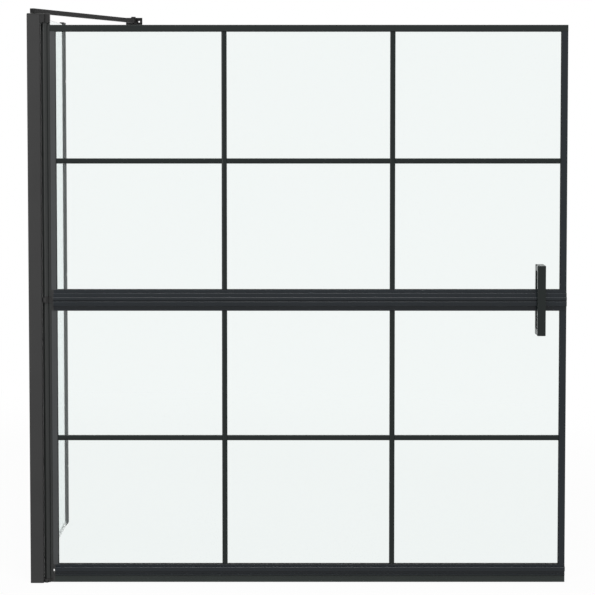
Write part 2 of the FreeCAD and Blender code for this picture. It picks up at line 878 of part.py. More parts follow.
def bottom_rail():
    """Bottom rail with a groove for the seal."""
    groove_half = seal_groove_width / 2
    groove = box(
        (rail_body_left - overrun, rail_body_right + overrun),
        (-groove_half, groove_half),
        (seal_top - overrun, seal_groove_top),
    )
    return ribbed_rail(bottom_section(), [bottom_pocket(rail_body_left, rail_body_right), groove])


def slot_between(left, right, low, high):
    """Slot through a cap's spigot, which leaves room for a screw's head."""
    return box((left, right), (-spigot_slot_half, spigot_slot_half), (low, high))


def mid_cap_slots(left, right):
    """Slots of a middle cap, one in each half."""
    return [
        slot_between(left, right, joint_z + rail_wall, mid_upper_ceiling),
        slot_between(left, right, mid_lower_floor, joint_z - rail_wall),
    ]


def left_mid_cap():
    """Corner block between the left stiles, with a plate and a spigot for each half of the rail."""
    spigot_end = rail_body_left + spigot_depth
    pieces = [box((leaf_left, rail_left), (-leaf_half, leaf_half), (lower_head, upper_sill))]
    for outline, chamber in (mid_upper_section(), mid_lower_section()):
        pieces.append(lengthwise(outline, rail_left, rail_body_left))
        pieces.append(lengthwise(chamber, rail_body_left, spigot_end))
    pockets = [upper_mid_pocket(leaf_left, rail_body_left), lower_mid_pocket(leaf_left, rail_body_left)]
    slots = mid_cap_slots(leaf_left + cap_side_wall, spigot_end + overrun)
    return cut_all(fuse_all(pieces), pockets + slots + stile_screws().Solids)


def right_mid_cap():
    """Plate over the right end of the middle rail, with two spigots."""
    spigot_end = rail_body_right - spigot_depth
    pieces = []
    for outline, chamber in (mid_upper_section(), mid_lower_section()):
        pieces.append(lengthwise(outline, rail_body_right, leaf_right))
        pieces.append(lengthwise(chamber, spigot_end, rail_body_right))
    return cut_all(fuse_all(pieces), mid_cap_slots(spigot_end - overrun, rail_body_right))


def mid_rail_end_caps():
    """End caps of the middle rail."""
    return Part.makeCompound([left_mid_cap(), right_mid_cap()])


def left_bottom_cap():
    """Corner block under the lower left stile, with a plate, a spigot and a foot on the seal's line."""
    outline, chamber = bottom_section()
    spigot_end = rail_body_left + spigot_depth
    block_x = (leaf_left, rail_left)
    block_y = (-leaf_half, leaf_half)
    pieces = [
        lengthwise(outline, rail_left, rail_body_left),
        box(block_x, block_y, (bottom_cap_floor, lower_sill)),
        box(block_x, block_y, (seal_top, seal_top + cap_foot_height)),
        lengthwise(chamber, rail_body_left, spigot_end),
    ]
    slot = slot_between(rail_body_left, spigot_end + overrun, seal_groove_top + rail_wall, bottom_ceiling)
    tools = [bottom_pocket(leaf_left, rail_body_left), slot]
    return cut_all(fuse_all(pieces), tools + stile_screws().Solids)


def right_bottom_cap():
    """Plate over the right end of the bottom rail, with a spigot."""
    outline, chamber = bottom_section()
    spigot_end = rail_body_right - spigot_depth
    plate = lengthwise(outline, rail_body_right, leaf_right)
    spigot = lengthwise(chamber, spigot_end, rail_body_right)
    slot = slot_between(spigot_end - overrun, rail_body_right, seal_groove_top + rail_wall, bottom_ceiling)
    return fuse_all([plate, spigot]).cut(slot)


def bottom_rail_end_caps():
    """End caps of the bottom rail."""
    return Part.makeCompound([left_bottom_cap(), right_bottom_cap()])


def bottom_seal():
    """Seal under the leaf: a stem in the rail's groove, a block, a front skirt and a back fin."""
    block_low = seal_top - seal_block_height
    inner = seal_half - skirt_thick
    outline = [
        (-seal_half, seal_top, 0),
        (-seal_half, rim_gap, 0),
        (-inner, rim_gap, 0),
        (-inner, block_low, 0),
        (inner, block_low, 0),
        (inner, rim_gap + fin_lift, 0),
        (seal_half, rim_gap + fin_lift, 0),
        (seal_half, seal_top, 0),
    ]
    stem_half = seal_groove_width / 2 - seal_stem_gap
    stem_z = (seal_top, seal_groove_top - seal_stem_gap)
    block = lengthwise(outline, rail_left, leaf_right)
    stem = box((rail_body_left, rail_body_right), (-stem_half, stem_half), stem_z)
    return fuse_all([block, stem])


def seal_end_block():
    """Moulded block that closes the seal's hinge end."""
    return box((leaf_left, rail_left), (-seal_half, seal_half), (rim_gap, seal_top))


def gasket_section(floor, toward):
    """Outline of a glazing gasket in (depth, y), with bevelled lips on both sides of the glass."""
    lip_half = pocket_half - gasket_bevel
    glass_half = glass_thick / 2
    shape = [
        (0, -pocket_half),
        (pocket_depth, -pocket_half),
        (pocket_depth + gasket_lip, -lip_half),
        (pocket_depth + gasket_lip, -glass_half),
        (gasket_floor, -glass_half),
        (gasket_floor, glass_half),
        (pocket_depth + gasket_lip, glass_half),
        (pocket_depth + gasket_lip, lip_half),
        (pocket_depth, pocket_half),
        (0, pocket_half),
    ]
    return [(floor + toward * depth, y, 0) for depth, y in shape]


def pane_gaskets(sill, head):
    """Four strips round one pane: two across the full width and two between their lips."""
    strips = []
    for floor, toward in ((sill - pocket_depth, 1), (head + pocket_depth, -1)):
        corners = [(y, z, radius) for z, y, radius in gasket_section(floor, toward)]
        strips.append(lengthwise(corners, left_floor, right_floor))
    for floor, toward in ((left_floor, 1), (right_floor, -1)):
        strips.append(upright(gasket_section(floor, toward), sill + gasket_lip, head - gasket_lip))
    return Part.makeCompound(strips)


def pane(sill, head, stud_height):
    """Glass pane in its gaskets, drilled once for a handle stud."""
    grip = pocket_depth - gasket_floor
    x_span = (left_sight - grip, right_sight + grip)
    body = box(x_span, (-glass_thick / 2, glass_thick / 2), (sill - grip, head + grip))
    start = Vector(handle_x, -overrun, stud_height)
    return body.cut(rod(collar_radius, start, Vector(handle_x, overrun, stud_height)))


def bar_prism(place, along):
    """Glazing bar on the glass's front, with square edges and a crowned face."""
    half = bar_width / 2
    seat = -glass_thick / 2
    edge = seat - bar_edge
    crown = edge - bar_crown
    corners = [place(u, y) for u, y in ((-half, edge), (-half, seat), (half, seat), (half, edge))]
    edges = [Part.LineSegment(corners[index], corners[index + 1]).toShape() for index in range(3)]
    edges.append(Part.Arc(corners[3], place(0, crown), corners[0]).toShape())
    return Part.Face(Part.Wire(edges)).extrude(along)


def vertical_bars(sill, head):
    """Two upright bars of one pane."""
    low = sill + gasket_lip
    along = Vector(0, 0, head - gasket_lip - low)
    bars = []
    for centre in bar_centres:
        bars.append(bar_prism(lambda u, y: Vector(centre + u, y, low), along))
    return Part.makeCompound(bars)


def cross_bars(sill, head):
    """Three short bars in line between the upright bars of one pane."""
    half = bar_width / 2
    height = (sill + head) / 2
    lefts = [left_sight + gasket_lip] + [centre + half for centre in bar_centres]
    rights = [centre - half for centre in bar_centres] + [right_sight - gasket_lip]
    bars = []
    for left, right in zip(lefts, rights):
        bars.append(bar_prism(lambda u, y: Vector(left, y, height + u), Vector(right - left, 0, 0)))
    return Part.makeCompound(bars)


def handle(side):
    """Upright bar with a short post at each end. side is -1 outside and 1 inside."""
    post_low = handle_low + handle_post_height
    post_high = handle_high - handle_post_height
    outline = [
        (side * handle_foot, handle_low, 0),
        (side * handle_foot, post_low, 0),
        (side * handle_back, post_low, 0),
        (side * handle_back, post_high, 0),
        (side * handle_foot, post_high, 0),
        (side * handle_foot, handle_high, 0),
        (side * handle_front, handle_high, 0),
        (side * handle_front, handle_low, 0),
    ]
    half = handle_width / 2
    body = lengthwise(outline, handle_x - half, handle_x + half)
    rims = []
    for edge in body.Edges:
        middle = edge.CenterOfMass
        on_side = abs(abs(middle.x - handle_x) - half) < least_edge
        on_front = abs(middle.y - side * handle_front) < least_edge
        on_foot = abs(middle.y - side * handle_foot) < least_edge
        if (on_side or on_front) and not on_foot:
            rims.append(edge)
    return cut_all(body.makeChamfer(handle_bevel, rims), handle_studs().Solids)


def handle_studs():
    """Studs through the glass, each held in both handles."""
    reach = handle_foot + stud_grip
    profile = [(stud_radius, -reach), (stud_radius, reach)]
    bases = [Vector(handle_x, 0, z) for z in stud_heights]
    return Part.makeCompound([faceted(profile, screw_sides, base, Vector(0, 1, 0)) for base in bases])


def handle_washers():
    """Soft washers between handles and glass, with collars in the glass's holes."""
    collar_length = glass_thick / 2 - collar_gap
    profile = [
        (collar_radius, 0),
        (collar_radius, collar_length),
        (washer_radius, collar_length),
        (washer_radius, collar_length + washer_thick),
    ]
    washers = []
    for z in stud_heights:
        for side in (-1, 1):
            base = Vector(handle_x, side * collar_gap, z)
            washers.append(faceted(profile, screw_sides, base, Vector(0, side, 0)))
    return Part.makeCompound([cut_all(washer, handle_studs().Solids) for washer in washers])


def along_brace(solid):
    """Solid moved from the brace's own frame, which runs along Y from the post's pin."""
    turned_solid = solid.rotated(Vector(0, 0, 0), Vector(0, 0, 1), -brace_turn)
    return turned_solid.translated(Vector(0, brace_pivot_y, 0))


def brace_outline():
    """Outer outline of the brace in (x, z)."""
    return rectangle((-brace_width / 2, brace_width / 2), (brace_bottom, brace_top), brace_corner)


def brace_hollow():
    """Outline of the brace's inside in (x, z)."""
    half = brace_width / 2 - brace_wall
    return rectangle((-half, half), (brace_bottom + brace_wall, brace_top - brace_wall))


def brace_bar():
    """Square tube with a hole for the post's pin."""
    tube = backward(brace_outline(), brace_bar_front, brace_bar_back)
    hollow = backward(brace_hollow(), brace_bar_front - overrun, brace_bar_back + overrun)
    hole = rod(pin_radius + brace_pin_gap, Vector(0, 0, brace_bottom - overrun), Vector(0, 0, brace_middle))
    return along_brace(cut_all(tube, [hollow, hole]))


def brace_end_cap():
    """Cap on the brace's front end. Its plug turns on the post's pin."""
    plate = backward(brace_outline(), -brace_overhang, brace_bar_front)
    plug = backward(brace_hollow(), brace_bar_front, brace_bar_front + brace_plug_length)
    bore_top = brace_pin_top + thrust_gap
    bore = rod(pin_radius + running_gap, Vector(0, 0, brace_bottom), Vector(0, 0, bore_top))
    return along_brace(fuse_all([plate, plug]).cut(bore))


def brace_post_pin():
    """Pin in the post's top cap on which the brace turns."""
    return rod(
        pin_radius,
        Vector(0, brace_pivot_y, extrusion_head - plug_depth),
        Vector(0, brace_pivot_y, brace_pin_top),
    )


def brace_tongue():
    """Plug in the brace's far end with a flat eye for the bracket's pin."""
    neck_half = brace_width / 2 - brace_wall
    plug = backward(brace_hollow(), brace_bar_back - brace_plug_length, brace_bar_back)
    neck = box((-neck_half, neck_half), (brace_bar_back, brace_length), (tongue_low, tongue_high))
    eye = rod(tongue_eye_radius, Vector(0, brace_length, tongue_low), Vector(0, brace_length, tongue_high))
    bore_low = Vector(0, brace_length, tongue_low - overrun)
    bore = rod(pin_radius + running_gap, bore_low, Vector(0, brace_length, tongue_high + overrun))
    return along_brace(fuse_all([plug, neck, eye]).cut(bore))


def wall_pin_rod(radius, low, high):
    """Cylinder on the line of the bracket's pin."""
    return rod(radius, Vector(brace_reach_x, wall_pin_y, low), Vector(brace_reach_x, wall_pin_y, high))


def wall_bracket():
    """Plate on the wall with two ears that hold the bracket's pin."""
    half_width = bracket_width / 2
    half_height = bracket_height / 2
    x_span = (brace_reach_x - half_width, brace_reach_x + half_width)
    outline = rectangle(x_span, (bracket_z - half_height, bracket_z + half_height))
    plate_front = wall_y - bracket_thick
    pieces = [backward(outline, plate_front, wall_y)]
    ear_x = (brace_reach_x - ear_radius, brace_reach_x + ear_radius)
    for low, high in (lower_ear_span, upper_ear_span):
        pieces.append(box(ear_x, (wall_pin_y, plate_front), (low, high)))
        pieces.append(wall_pin_rod(ear_radius, low, high))
    tools = [wall_pin_rod(pin_radius, lower_ear_span[0] - overrun, upper_ear_span[1] + overrun)]
    for side in (-1, 1):
        x = brace_reach_x + side * bracket_hole_spacing / 2
        start = Vector(x, plate_front - overrun, bracket_z)
        tools.append(rod(bracket_hole_radius, start, Vector(x, wall_y + overrun, bracket_z)))
    return cut_all(fuse_all(pieces), tools)


def bracket_pin():
    """Headed pin through the bracket's ears and the brace's eye."""
    low = lower_ear_span[0] - bracket_pin_tail
    high = upper_ear_span[1]
    profile = [
        (bracket_head_radius, 0),
        (bracket_head_radius, bracket_head_height - bracket_head_bevel),
        (bracket_head_radius - bracket_head_bevel, bracket_head_height),
    ]
    head = faceted(profile, plate_sides, Vector(brace_reach_x, wall_pin_y, high), Vector(0, 0, 1))
    return fuse_all([wall_pin_rod(pin_radius, low, high), head])


lower_span = (lower_sill, lower_head)
upper_span = (upper_sill, upper_head)

nodes = {
    "corner_post": corner_post(),
    "top_bearing_cap": top_bearing_cap(),
    "mid_bearing": mid_bearing(),
    "bottom_bearing_cap": bottom_bearing_cap(),
    "pivot_pins": pivot_pins(),
    "wiper_seals": wiper_seals(),
    "side_glass": side_glass(),
    "post_gasket": post_gasket(),
    "side_profile": side_profile(),
    "wall_channel": wall_channel(),
    "wall_channel_cap": wall_channel_cap(),
    "locking_screws": locking_screws(),
    "side_glass_seal": side_glass_seal(),
    "brace_post_pin": brace_post_pin(),
    "brace_bar": brace_bar(),
    "brace_end_cap": brace_end_cap(),
    "brace_tongue": brace_tongue(),
    "wall_bracket": wall_bracket(),
    "bracket_pin": bracket_pin(),
    "lower_hinge_profile": hinge_profile(lower_hinge_span),
    "upper_hinge_profile": hinge_profile(upper_hinge_span),
    "hinge_bushes": hinge_bushes(),
    "hinge_screws": hinge_screws(),
    "lower_left_stile": left_stile(lower_span),
    "upper_left_stile": left_stile(upper_span),
    "lower_right_stile": right_stile(lower_span, rail_body_right),
    "upper_right_stile": right_stile(upper_span, leaf_right),
    "top_rail": top_rail(),
    "top_rail_end_plugs": top_rail_end_plugs(),
    "mid_rail_upper": mid_rail_upper(),
    "mid_rail_lower": mid_rail_lower(),
    "mid_rail_end_caps": mid_rail_end_caps(),
    "bottom_rail": bottom_rail(),
    "bottom_rail_end_caps": bottom_rail_end_caps(),
    "stile_screws": stile_screws(),
    "bottom_seal": bottom_seal(),
    "seal_end_block": seal_end_block(),
    "lower_glass": pane(lower_sill, lower_head, stud_heights[0]),
    "upper_glass": pane(upper_sill, upper_head, stud_heights[1]),
    "lower_gaskets": pane_gaskets(lower_sill, lower_head),
    "upper_gaskets": pane_gaskets(upper_sill, upper_head),
    "lower_vertical_bars": vertical_bars(lower_sill, lower_head),
    "upper_vertical_bars": vertical_bars(upper_sill, upper_head),
    "lower_cross_bars": cross_bars(lower_sill, lower_head),
    "upper_cross_bars": cross_bars(upper_sill, upper_head),
    "outer_handle": handle(-1),
    "inner_handle": handle(1),
    "handle_studs": handle_studs(),
    "handle_washers": handle_washers(),
}

os.makedirs("parts", exist_ok=True)
for name, shape in nodes.items():
    shape.exportStep(os.path.join("parts", name + ".step"))
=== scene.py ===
import json
import math

import bmesh
import bpy
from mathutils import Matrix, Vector

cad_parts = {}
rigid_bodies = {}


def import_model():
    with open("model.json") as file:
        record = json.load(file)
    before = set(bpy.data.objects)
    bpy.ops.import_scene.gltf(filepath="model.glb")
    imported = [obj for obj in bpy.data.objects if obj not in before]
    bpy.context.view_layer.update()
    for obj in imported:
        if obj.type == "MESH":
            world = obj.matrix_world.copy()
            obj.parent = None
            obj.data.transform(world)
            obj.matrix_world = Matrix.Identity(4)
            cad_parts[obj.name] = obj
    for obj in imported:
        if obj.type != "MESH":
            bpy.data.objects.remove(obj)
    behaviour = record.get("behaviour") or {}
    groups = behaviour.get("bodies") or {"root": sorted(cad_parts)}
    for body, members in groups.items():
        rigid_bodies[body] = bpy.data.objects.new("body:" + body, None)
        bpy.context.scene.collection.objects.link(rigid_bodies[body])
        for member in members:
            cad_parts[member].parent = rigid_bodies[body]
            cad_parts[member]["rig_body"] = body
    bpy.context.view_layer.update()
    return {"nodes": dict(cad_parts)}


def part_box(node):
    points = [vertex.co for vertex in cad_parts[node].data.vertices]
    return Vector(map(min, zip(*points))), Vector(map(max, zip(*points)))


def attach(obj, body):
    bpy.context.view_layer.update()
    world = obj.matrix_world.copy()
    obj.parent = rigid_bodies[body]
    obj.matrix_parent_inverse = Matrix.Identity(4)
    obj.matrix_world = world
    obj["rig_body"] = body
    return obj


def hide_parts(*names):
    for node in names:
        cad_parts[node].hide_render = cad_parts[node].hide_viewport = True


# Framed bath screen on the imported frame. Metres. X runs along the front, Y back to the wall and Z up.
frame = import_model()
millimetre = 0.001
scene = bpy.context.scene

# Camera, set from the photograph: picture and focal length in pixels, sensor in millimetres
picture_size = 595
sensor_width = 36.0
camera_place = Vector((0.6063, -4.9674, 1.1186))
camera_pitch_degrees = 3.463
focal_pixels = 2187.7
shift_across = -0.00756
shift_up = -0.12
farthest_seen = 200.0

# White surroundings: how bright they are to the camera, and how bright as a light from all sides
white_level = 1.0
fill_level = 0.42

# Square soft lights, with their power in watts
left_light = {"place": (-2.6, -4.4, 1.1), "target": (0.4, 0.0, 0.65), "size": 2.2, "power": 34.0}
top_light = {"place": (0.6, -2.9, 5.5), "target": (0.6, 0.1, 0.6), "size": 2.4, "power": 185.0}

# Floor: its tone to the camera and as a light, and the distances over which it fades to white
floor_size = 24.0
floor_tone = 0.9
floor_bounce = 0.15
floor_roughness = 0.9
floor_shadow_radius = 1.6
floor_white_radius = 3.2
floor_glow_share = 0.94

# Grain of the finishes: bumps to a metre, their depth, how strongly they show and how the gloss varies
coat_grain = 1500.0
moulded_grain = 2600.0
coat_depth = 0.02 * millimetre
moulded_depth = 0.012 * millimetre
grain_detail = 2.0
grain_strength = 0.35
gloss_spread = 0.04

# Slow drift of tone over a finish: waves to a metre, ends of the blend and share of the tone
drift_scale = 7.0
drift_detail = 3.0
drift_low = 0.3
drift_high = 0.7
drift_share = 0.08
steel_drift_share = 0.03

# Gloss of the finishes: roughness, and how strongly they mirror
coat_gloss = {"roughness": 0.27, "specular": 0.26}
matt_gloss = {"roughness": 0.5, "specular": 0.04}
wall_gloss = {"roughness": 0.5, "specular": 0.05}
moulded_specular = 0.2
moulded_roughness = 0.5
seal_roughness = 0.55
rubber_roughness = 0.7
pin_roughness = 0.3
steel_gloss = {"roughness": 0.28, "specular": 0.5}

# Glass and clear soft plastic: how they bend light, and the cloud in the plastic's gloss
glass_bend = 1.5
plastic_bend = 1.47
plastic_clearness = 0.85
plastic_cloud_scale = 60.0
plastic_cloud_detail = 3.0
plastic_cloud_spread = 0.15
clear_seal_roughness = 0.18
clear_washer_roughness = 0.25

# Section of every rounding, where 0.5 is a circle
round_profile = 0.5

# Handles: rounding of the edges, depth of the bar and height of its two posts
handle_round = 1.5 * millimetre
handle_round_steps = 4
handle_bar_depth = 10.0 * millimetre
handle_post_height = 14.0 * millimetre

# Small round parts, as (radius, height, share of a hexagon) in millimetres from the seat of the head
turned_sides = 48
hexagon_angle = math.pi / 3
bracket_pin_rings = [
    (2.6, -14.8, 0), (3.0, -14.4, 0), (3.0, 0.0, 0), (5.7, 0.0, 0), (6.0, 0.3, 0),
    (6.0, 2.5, 0), (5.8, 3.05, 0), (5.35, 3.45, 0), (4.7, 3.6, 0), (2.6, 3.6, 0),
    (2.3, 3.5, 1), (2.3, 1.6, 1), (0.5, 1.3, 0),
]
lock_screw_rings = [
    (1.5, -4.5, 0), (1.5, 0.0, 0), (2.85, 0.0, 0), (3.0, 0.15, 0), (3.0, 0.45, 0),
    (2.8, 0.85, 0), (2.35, 1.15, 0), (1.75, 1.33, 0), (1.15, 1.4, 0),
    (1.0, 1.35, 1), (1.0, 0.65, 1), (0.25, 0.5, 0),
]
bracket_pin_head_height = 3.6 * millimetre
lock_screw_head_height = 1.4 * millimetre
lock_screw_gap = 500.0 * millimetre

# Side pane: flat ground edges
pane_arris = 0.8 * millimetre
pane_arris_steps = 1

# Roundings of the long sharp edges of rails, stiles and glazing bars, and the glue behind the bars
weld_distance = 0.001 * millimetre
flat_angle = math.radians(1)
sharp_angle = math.radians(60)
smooth_angle = math.radians(32)
shortest_eased = 100.0 * millimetre
easing_steps = 3
member_easing = 0.4 * millimetre
bar_easing = 0.6 * millimetre
bar_glue = 0.06 * millimetre
eased_members = [
    "mid_rail_upper", "mid_rail_lower", "bottom_rail", "top_rail",
    "upper_left_stile", "lower_left_stile", "upper_right_stile", "lower_right_stile",
]
eased_bars = ["upper_vertical_bars", "lower_vertical_bars", "upper_cross_bars", "lower_cross_bars"]

# Finish of each material slot of the frame, and of the nodes that have one of their own
finish_of_slot = {
    "black_frame": "coat",
    "black_plastic": "moulded",
    "clear_glass": "glass",
    "black_rubber": "rubber",
    "clear_seal": "clear_seal",
    "seal_grey": "seal",
    "end_block_grey": "end_block",
    "steel": "steel",
    "black_pin": "pin",
    "clear_washer": "clear_washer",
}
nodes_of_finish = {
    # The post, hinge profiles and left stiles get lighter copies of the one black coat: painted light
    # from the left lamp's reflection
    "post_coat_painted_light": ["corner_post"],
    "hinge_coat_painted_light": ["lower_hinge_profile", "upper_hinge_profile"],
    "left_stile_coat_painted_light": ["lower_left_stile", "upper_left_stile"],
    "top_coat": ["top_rail"],
    "bar_coat": eased_bars,
    "matt_coat": ["brace_bar", "brace_end_cap", "brace_tongue", "wall_bracket"],
    "wall_coat": ["side_profile", "wall_channel"],
    "cap_moulded": ["mid_rail_end_caps", "bottom_rail_end_caps", "bottom_bearing_cap", "mid_bearing"],
}


def node_value(node, name, value):
    """Sets one socket of a shader node."""
    node.inputs[name].default_value = value


def new_material(name):
    """Material with a Principled shader and an output."""
    material = bpy.data.materials.new(name)
    material.use_nodes = True
    return material, material.node_tree, material.node_tree.nodes["Principled BSDF"]


def object_noise(tree, scale, detail):
    """Noise that keeps its place on the piece."""
    place = tree.nodes.new("ShaderNodeTexCoord")
    noise = tree.nodes.new("ShaderNodeTexNoise")
    node_value(noise, "Scale", scale)
    node_value(noise, "Detail", detail)
    tree.links.new(place.outputs["Object"], noise.inputs["Vector"])
    return noise


def between(tree, source, low, high):
    """Output that runs from low to high as the source runs from 0 to 1."""
    scale = tree.nodes.new("ShaderNodeMapRange")
    node_value(scale, "To Min", low)
    node_value(scale, "To Max", high)
    tree.links.new(source, scale.inputs["Value"])
    return scale.outputs["Result"]


def tinted_surface(name, colour, grain, depth, roughness, specular, metallic=0.0, drift=drift_share):
    """Opaque finish with a fine grain, a slow drift of its colour and a little change of gloss."""
    material, tree, shader = new_material(name)
    node_value(shader, "Metallic", metallic)
    node_value(shader, "Specular IOR Level", specular)
    slow = object_noise(tree, drift_scale, drift_detail)
    ramp = tree.nodes.new("ShaderNodeValToRGB")
    low, high = ramp.color_ramp.elements
    low.position = drift_low
    high.position = drift_high
    low.color = [channel * (1 - drift) for channel in colour] + [1]
    high.color = [channel * (1 + drift) for channel in colour] + [1]
    tree.links.new(slow.outputs["Fac"], ramp.inputs["Fac"])
    tree.links.new(ramp.outputs["Color"], shader.inputs["Base Color"])
    fine = object_noise(tree, grain, grain_detail)
    gloss = between(tree, fine.outputs["Fac"], roughness - gloss_spread, roughness + gloss_spread)
    tree.links.new(gloss, shader.inputs["Roughness"])
    bump = tree.nodes.new("ShaderNodeBump")
    node_value(bump, "Strength", grain_strength)
    node_value(bump, "Distance", depth)
    tree.links.new(fine.outputs["Fac"], bump.inputs["Height"])
    tree.links.new(bump.outputs["Normal"], shader.inputs["Normal"])
    return material


def either_output(tree, first, second):
    """Output that is 1 where either of two outputs is."""
    either = tree.nodes.new("ShaderNodeMath")
    either.operation = "MAXIMUM"
    tree.links.new(first, either.inputs[0])
    tree.links.new(second, either.inputs[1])
    return either.outputs["Value"]


def mixed_surface(tree, share, first, second):
    """Sends a mix of two shaders to the output of a material."""
    mix = tree.nodes.new("ShaderNodeMixShader")
    tree.links.new(share, mix.inputs["Fac"])
    tree.links.new(first, mix.inputs[1])
    tree.links.new(second, mix.inputs[2])
    tree.links.new(mix.outputs["Shader"], tree.nodes["Material Output"].inputs["Surface"])


def clear_glass(name, colour):
    """Clear glass with a faint tint. Light that only passes on to other surfaces isn't bent."""
    material, tree, shader = new_material(name)
    node_value(shader, "Base Color", (*colour, 1))
    node_value(shader, "Roughness", 0)
    node_value(shader, "IOR", glass_bend)
    node_value(shader, "Transmission Weight", 1)
    through = tree.nodes.new("ShaderNodeBsdfTransparent")
    node_value(through, "Color", (*colour, 1))
    path = tree.nodes.new("ShaderNodeLightPath")
    passing = either_output(tree, path.outputs["Is Shadow Ray"], path.outputs["Is Diffuse Ray"])
    mixed_surface(tree, passing, shader.outputs["BSDF"], through.outputs["BSDF"])
    return material


def clear_plastic(name, colour, roughness):
    """Clear soft plastic, slightly cloudy."""
    material, tree, shader = new_material(name)
    node_value(shader, "Base Color", (*colour, 1))
    node_value(shader, "IOR", plastic_bend)
    node_value(shader, "Transmission Weight", plastic_clearness)
    cloud = object_noise(tree, plastic_cloud_scale, plastic_cloud_detail)
    gloss = between(tree, cloud.outputs["Fac"], roughness, roughness + plastic_cloud_spread)
    tree.links.new(gloss, shader.inputs["Roughness"])
    return material


def coated(name, colour, gloss=coat_gloss):
    """Black powder coat."""
    return tinted_surface(name, colour, coat_grain, coat_depth, **gloss)


def moulded(name, colour, roughness=moulded_roughness):
    """Black moulded plastic."""
    return tinted_surface(name, colour, moulded_grain, moulded_depth, roughness, moulded_specular)


def bare_steel(name, colour):
    """Bare steel."""
    look = dict(steel_gloss, metallic=1, drift=steel_drift_share)
    return tinted_surface(name, colour, coat_grain, coat_depth, **look)


def make_finishes():
    """Every finish by name."""
    return {
        "coat": coated("black_coat", (0.014, 0.019, 0.024)),
        "top_coat": coated("top_coat", (0.014, 0.019, 0.018)),
        # Post, hinge and left stile coats are the black coat made lighter, as painted light from the left
        # lamp's reflection
        "post_coat_painted_light": coated("post_coat_painted_light", (0.05, 0.05, 0.05)),
        "hinge_coat_painted_light": coated("hinge_coat_painted_light", (0.039, 0.042, 0.041)),
        "left_stile_coat_painted_light": coated("left_stile_coat_painted_light", (0.084, 0.089, 0.091)),
        "bar_coat": coated("bar_coat", (0.008, 0.013, 0.012)),
        "handle_coat": coated("handle_coat", (0.009, 0.014, 0.013)),
        "matt_coat": coated("matt_coat", (0.03, 0.03, 0.03), matt_gloss),
        "wall_coat": coated("wall_coat", (0.014, 0.028, 0.026), wall_gloss),
        "moulded": moulded("black_moulded", (0.035, 0.035, 0.035)),
        "cap_moulded": moulded("cap_moulded", (0.048, 0.048, 0.048)),
        "rubber": moulded("black_rubber", (0.018, 0.018, 0.018), rubber_roughness),
        "seal": moulded("seal_grey", (0.04, 0.047, 0.045), seal_roughness),
        "end_block": moulded("end_block_grey", (0.06, 0.06, 0.06)),
        "steel": bare_steel("steel", (0.52, 0.52, 0.51)),
        "pin": moulded("black_pin", (0.022, 0.022, 0.022), pin_roughness),
        "glass": clear_glass("clear_glass", (0.885, 0.925, 0.915)),
        "side_glass": clear_glass("side_clear_glass", (0.81, 0.885, 0.88)),
        "clear_seal": clear_plastic("clear_seal", (0.88, 0.9, 0.89), clear_seal_roughness),
        "clear_washer": clear_plastic("clear_washer", (0.85, 0.86, 0.86), clear_washer_roughness),
    }


def dress_frame(finishes):
    """Gives every node of the frame its finish. Returns the slot that each node was made with."""
    finish_of_node = {node: finish for finish, nodes in nodes_of_finish.items() for node in nodes}
    slot_of_node = {}
    for name, node in frame["nodes"].items():
        for slot in node.material_slots:
            slot_of_node[name] = slot.material.name.split(".")[0]
            slot.material = finishes[finish_of_node.get(name, finish_of_slot[slot_of_node[name]])]
    return slot_of_node


def add_piece(name, mesh, finish, body, node):
    """Puts a piece in the scene in place of a node of the frame."""
    mesh.materials.append(finish)
    piece = bpy.data.objects.new(name, mesh)
    scene.collection.objects.link(piece)
    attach(piece, body)
    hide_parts(node)
    return piece


def finished_mesh(shape, name):
    """Mesh of a finished bmesh, with its faces turned outward."""
    bmesh.ops.recalc_face_normals(shape, faces=shape.faces)
    mesh = bpy.data.meshes.new(name)
    shape.to_mesh(mesh)
    shape.free()
    return mesh


def round_edges(shape, edges, size, steps):
    """Rounds edges, or cuts them flat with one step. Only a rounding is shaded smooth."""
    style = {"segments": steps, "profile": round_profile, "affect": "EDGES"}
    rounding = bmesh.ops.bevel(shape, geom=edges, offset=size, **style)
    for face in rounding["faces"]:
        face.smooth = steps > 1


def handle_piece(node, finish):
    """Bar handle with two posts and rounded edges, in the place of its solid."""
    low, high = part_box(node)
    foot, front = sorted((low.y, high.y), key=abs)
    back = front - math.copysign(handle_bar_depth, front)
    post_low = low.z + handle_post_height
    post_high = high.z - handle_post_height
    outline = [
        (foot, low.z), (foot, post_low), (back, post_low), (back, post_high),
        (foot, post_high), (foot, high.z), (front, high.z), (front, low.z),
    ]
    shape = bmesh.new()
    left, right = [[shape.verts.new((x, y, z)) for y, z in outline] for x in (low.x, high.x)]
    shape.faces.new(left)
    shape.faces.new(right)
    for index in range(len(outline)):
        shape.faces.new((left[index - 1], left[index], right[index], right[index - 1]))
    edges = [
        edge for edge in shape.edges
        if any(abs(vert.co.y - foot) > handle_round for vert in edge.verts)
    ]
    round_edges(shape, edges, handle_round, handle_round_steps)
    mesh = finished_mesh(shape, node + "_rounded")
    add_piece(node + "_rounded", mesh, finish, "leaf", node)


def turned_ring(shape, ring, base, along):
    """Adds one ring of points of a turned part, round or a hexagon, and returns them."""
    radius, height, hexagon = ring
    points = []
    for index in range(turned_sides):
        angle = 2 * math.pi * index / turned_sides
        from_middle = (angle + hexagon_angle / 2) % hexagon_angle - hexagon_angle / 2
        flat = math.cos(hexagon_angle / 2) / math.cos(from_middle)
        reach = radius * (1 + (flat - 1) * hexagon)
        across, up = reach * math.cos(angle), reach * math.sin(angle)
        place = Vector((across, up, height)) if along == "Z" else Vector((height, across, up))
        points.append(shape.verts.new(Vector(base) + place * millimetre))
    return points


